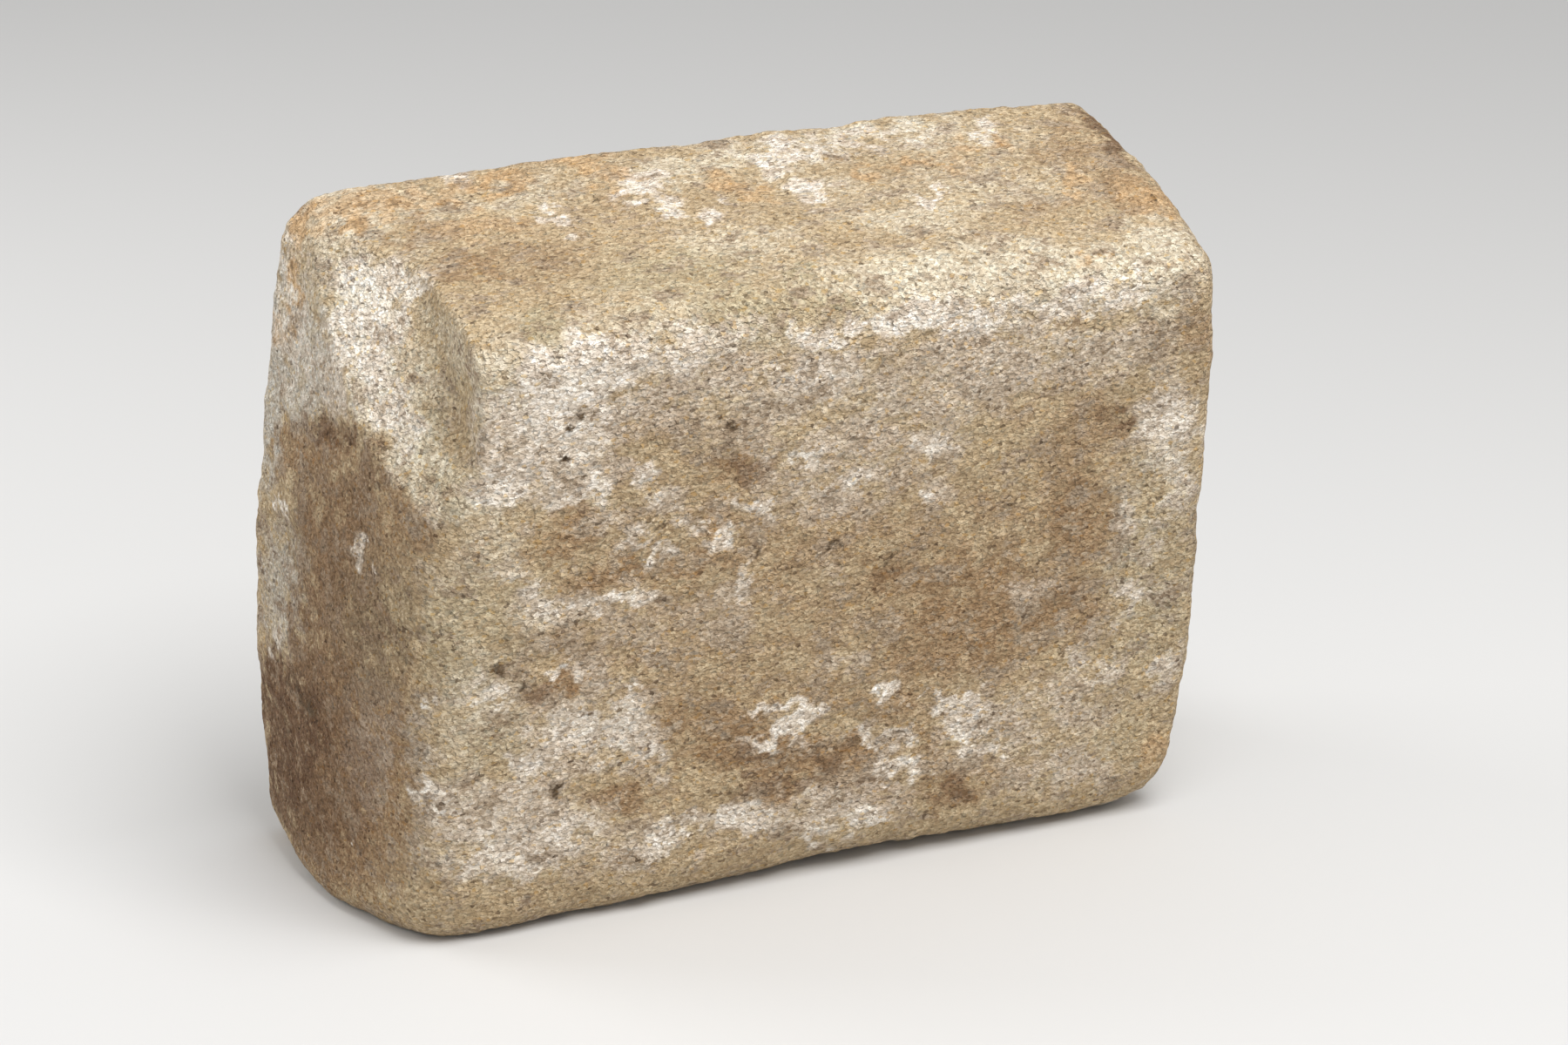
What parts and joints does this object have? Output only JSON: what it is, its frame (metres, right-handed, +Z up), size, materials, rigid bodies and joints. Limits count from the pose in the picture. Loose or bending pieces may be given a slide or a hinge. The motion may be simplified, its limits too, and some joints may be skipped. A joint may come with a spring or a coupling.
{
  "type": "stone trough planter",
  "caption": "Rectangular granite trough planter with flared, worn walls, rounded corners and a deep open hollow, lying on one long wall.",
  "frame": {"origin": "middle of the bounding box's bottom, on the surface that the trough's long wall lies on", "axes": "+X along the trough, +Y from its foot towards its mouth and +Z up, with the trough lying on one long wall; turned by +97.7 degrees about +X it stands on its foot with its mouth up"},
  "size_m": [0.4708, 0.223, 0.3704],
  "materials": {
    "granite": "coarse, weathered, matt granite with white, ochre and brown patches"
  },
  "bodies": {
    "root": {"trough": "granite"}
  },
  "joints": []
}
